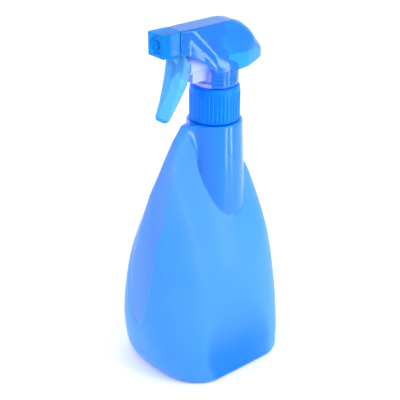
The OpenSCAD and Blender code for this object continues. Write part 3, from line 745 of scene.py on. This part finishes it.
# ---------------------------------------------------------------- nozzle cap
def make_nozzle_cap():
    """A square cap with a round recess in front and a socket for the barrel inside."""
    count, square = 128, 30.0
    half = CAP_W / 2
    edge = 0.8
    rings = []

    def add(radius, y, power=2.0):
        rings.append(ring_y(radius, y, count, power))

    # inside of the hollow, from the socket's blind end outwards
    socket, socket_out, inner = 4.46, 5.46, half - 1.3
    blind = CAP_FRONT + 5.2
    add(0.3, blind)
    add(socket, blind)
    add(socket, CAP_BACK - 0.3)
    add(socket + 0.2, CAP_BACK - 0.1)
    add(socket_out - 0.2, CAP_BACK - 0.1)
    add(socket_out, CAP_BACK - 0.3)
    add(socket_out, CAP_FRONT + 4)
    add(inner, CAP_FRONT + 4, square)
    add(inner, CAP_BACK - 0.3, square)
    add(inner + 0.3, CAP_BACK, square)
    add(half - 0.3, CAP_BACK, square)
    add(half, CAP_BACK - 0.3, square)
    add(half, CAP_FRONT + edge, square)
    for k in range(1, 5):
        a = math.pi / 2 * k / 4
        add(half - edge * (1 - math.cos(a)), CAP_FRONT + edge * (1 - math.sin(a)), square)
    add(6.3, CAP_FRONT, 4.0)
    recess, deep = 5.4, CAP_FRONT + 1.7
    add(recess + 0.3, CAP_FRONT)
    add(recess, CAP_FRONT + 0.3)
    add(recess - 0.2, deep - 0.3)
    add(recess - 0.5, deep)
    add(2.9, deep)
    add(2.5, deep - 0.3)
    add(2.3, CAP_FRONT + 0.6)
    add(1.9, CAP_FRONT + 0.3)
    add(1.1, CAP_FRONT + 0.3)
    add(0.45, CAP_FRONT + 0.9)
    add(0.45, CAP_FRONT + 3)
    points, faces = loft(rings, cap_start=True, cap_end=True)
    cap = make_object("cap_shell", points, faces, TINTED_DEEP)
    rib_front, rib_back = CAP_FRONT + 3.8, CAP_BACK - 1.5
    rib_low, rib_high = BARREL_Z + socket_out - 0.3, BARREL_Z + inner + 0.3
    rib_outline = [(rib_front, rib_low), (rib_back, rib_low), (rib_back, rib_high), (rib_front, rib_high)]
    ribs = []
    for turn in range(4):
        rib = prism_x("rib", rib_outline, -0.5, 0.5, TINTED_DEEP, bevel=0.1)
        middle = Vector((0, 0, BARREL_Z * MM))
        rib.data.transform(Matrix.Translation(middle) @ Matrix.Rotation(turn * math.pi / 2, 4, "Y")
                           @ Matrix.Translation(-middle))
        ribs.append(rib)
    obj = joined("nozzle_square", [cap] + ribs)
    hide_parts("nozzle_cap")
    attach(obj, "nozzle")


# ---------------------------------------------------------------- trigger
SHOULDER_Z = BARREL_Z - CAP_W / 2 - 1.2
SWEEP = 11.7
TRIGGER_WALL = 1.3


def trigger_front(u):
    """Place along Y of the finger piece's front, a share u of the way down."""
    return SHROUD_FRONT + 0.1 - SWEEP * u ** 1.43


def trigger_half(u):
    """Half width at a share of the way down to the tip, rounded at the tip."""
    width = 8.95 - 2.75 * u
    drop = (1 - u) * (SHOULDER_Z - TIP_Z)
    corner = 2.6
    if drop < corner:
        width -= corner - math.sqrt(corner**2 - (corner - drop) ** 2)
    return width


def trigger_row(u, z):
    """A U-shaped row of the finger piece: side, rounded front with a shallow scoop, side."""
    half = trigger_half(u)
    front = trigger_front(u)
    depth = min(6.8, 10 - 8.5 * u)
    corner = min(2.2, depth * 0.6)
    scoop = 1.0 * math.sin(math.pi * min(u * 1.05, 1)) + 0.3
    back = []
    drop = 5.3 * (1 - u)
    for k in range(7):
        t = k / 6
        back.append((half, front + depth + (corner - depth) * t, -drop * (1 - t)))
    for k in range(1, 7):
        a = math.pi / 2 * k / 6
        back.append((half - corner * (1 - math.cos(a)), front + corner * (1 - math.sin(a)), 0))
    flat = half - corner
    for k in range(1, 7):
        x = flat * (1 - k / 6)
        back.append((x, front + scoop * (1 - (x / flat) ** 2) ** 2 * 0.7, 0))
    row = [(x, y, z + dz) for x, y, dz in back]
    return row + [(-x, y, zz) for x, y, zz in row[-2::-1]]


def disc_outline(y, z, radius, start, stop, steps):
    """Points of an arc as (y, z), from one angle in degrees to another."""
    turns = [math.radians(start + (stop - start) * k / steps) for k in range(steps + 1)]
    return [(y + radius * math.cos(a), z + radius * math.sin(a)) for a in turns]


def make_trigger():
    """The finger piece, its two arms with pivot holes, the web between them and the push nose."""
    rows = []
    for i in range(61):
        u = 1 - (1 - i / 60) ** 1.15
        rows.append(trigger_row(u, SHOULDER_Z - u * (SHOULDER_Z - TIP_Z)))
    last = rows[-1]
    lid = [(x * 0.9, max(y, trigger_front(1) + 1.0), z) for x, y, z in last]
    rows.append(lid)
    points, faces = loft(rows, closed_ring=False)
    shell = make_object("finger", points, faces, LEVER)
    thicken(shell, TRIGGER_WALL, bevel=0.3)
    parts = [shell]
    arm_r, arm_in, arm_t = 4.4, 4.9, 1.3
    front = SHROUD_FRONT + 0.8
    outline = disc_outline(PIVOT[0], PIVOT[1], arm_r, -48, 180, 26)
    outline += [(front, SHOULDER_Z - 1), (front, SHOULDER_Z - 9), (front + 1.2, SHOULDER_Z - 9),
                (front + 3.1, SHOULDER_Z - 2.7)]
    hole_r = 1.98
    for side in (-1, 1):
        low, high = sorted((side * arm_in, side * (arm_in + arm_t)))
        arm = prism_x("arm", outline, low, high, LEVER)
        hole = disc_outline(PIVOT[0], PIVOT[1], hole_r, 0, 348.75, 31)
        cutter = prism_x("cutter", hole, low - 1, high + 1, LEVER, bevel=0.01)
        cut = arm.modifiers.new("hole", "BOOLEAN")
        cut.object = cutter
        cut.operation = "DIFFERENCE"
        applied(arm)
        bpy.data.objects.remove(cutter)
        parts.append(arm)
    web_front, web_back = -33.4, -31
    web = [(web_front, SHOULDER_Z - 0.8), (web_back, SHOULDER_Z - 2.7), (web_back, SHOULDER_Z - 4),
           (web_front, SHOULDER_Z - 2.2)]
    parts.append(prism_x("web", web, -7.9, 7.9, LEVER))
    nose = disc_outline(-31.4, CYL_Z, 2.0, -80, 80, 12)
    nose += [(-34.6, CYL_Z + 5), (-35.4, CYL_Z - 6)]
    parts.append(prism_x("nose", nose, -1.2, 1.2, LEVER))
    obj = joined("trigger_lever", parts)
    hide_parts("trigger")
    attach(obj, "trigger")


# ---------------------------------------------------------------- carried-over parts
def paint_frame():
    """Finishes of the CAD nodes that stay as they are."""
    finishes = {
        "pump_body": NATURAL, "valve_holder": NATURAL, "piston": NATURAL, "swirl_core": NATURAL,
        "dip_tube": TUBE, "neck_gasket": SEAL, "piston_seals": SEAL, "outlet_valve": SEAL,
        "nozzle_seal": SEAL, "return_spring": STEEL, "inlet_ball": STEEL,
    }
    for node, material in finishes.items():
        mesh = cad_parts[node].data
        mesh.materials.clear()
        mesh.materials.append(material)


# ---------------------------------------------------------------- stage
def make_stage():
    """A pale floor just under the foot, and an even white surround."""
    half, drop = 3.0, -0.0003
    corners = [(-half, -half, drop), (half, -half, drop), (half, half, drop), (-half, half, drop)]
    mesh = bpy.data.meshes.new("floor")
    mesh.from_pydata(corners, [], [(0, 1, 2, 3)])
    floor = bpy.data.objects.new("floor", mesh)
    bpy.context.scene.collection.objects.link(floor)
    material = bpy.data.materials.new("pale_floor")
    material.use_nodes = True
    shader = material.node_tree.nodes["Principled BSDF"]
    shader.inputs["Base Color"].default_value = (1, 1, 1, 1)
    shader.inputs["Roughness"].default_value = 0.9
    shader.inputs["Specular IOR Level"].default_value = 0.1
    mesh.materials.append(material)
    world = bpy.data.worlds.new("studio")
    bpy.context.scene.world = world
    world.use_nodes = True
    surround = world.node_tree.nodes["Background"]
    surround.inputs["Color"].default_value = (1, 1, 1, 1)
    surround.inputs["Strength"].default_value = 0.97


def add_light(name, place, target, size, power):
    """A soft rectangular light that faces a target."""
    data = bpy.data.lights.new(name, "AREA")
    data.shape = "RECTANGLE"
    data.size, data.size_y = size
    data.energy = power
    lamp = bpy.data.objects.new(name, data)
    bpy.context.scene.collection.objects.link(lamp)
    lamp.location = place
    lamp.rotation_euler = (Vector(target) - Vector(place)).to_track_quat("-Z", "Y").to_euler()


def make_lights():
    middle = (0, 0, 0.13)
    add_light("key_left", (-0.35, -0.75, 0.45), middle, (0.25, 0.9), 2.5)
    add_light("overhead", (0.1, -0.1, 1.1), middle, (0.9, 0.9), 1.5)
    strip_z = 0.3
    for name, x, y in (("strip_side", 0.446, 0.063), ("strip_rear", 0.39, 0.225)):
        add_light(name, (x, y, strip_z), (0, 0, strip_z), (0.05, 0.6), 0.8)


# ---------------------------------------------------------------- camera
def make_camera():
    azimuth, elevation, roll = math.radians(49.84), math.radians(26.71), math.radians(0.41)
    distance, side_shift, target_z = 0.6542, -0.00914, 0.11466
    level = math.cos(elevation)
    back = Vector((math.sin(azimuth) * level, -math.cos(azimuth) * level, math.sin(elevation)))
    right = Vector((math.cos(azimuth), math.sin(azimuth), 0))
    target = Vector((0, 0, target_z)) + right * side_shift
    data = bpy.data.cameras.new("camera")
    data.sensor_width = 36
    data.lens = 84.91
    camera = bpy.data.objects.new("camera", data)
    bpy.context.scene.collection.objects.link(camera)
    turn = back.to_track_quat("Z", "Y").to_matrix() @ Matrix.Rotation(roll, 3, "Z")
    camera.matrix_world = Matrix.Translation(target + back * distance) @ turn.to_4x4()
    bpy.context.scene.camera = camera


make_camera()
make_stage()
make_lights()
make_bottle()
neck_thread()
make_closure()
make_shroud()
make_nozzle_cap()
make_trigger()
paint_frame()
bpy.context.scene.view_settings.view_transform = "Standard"
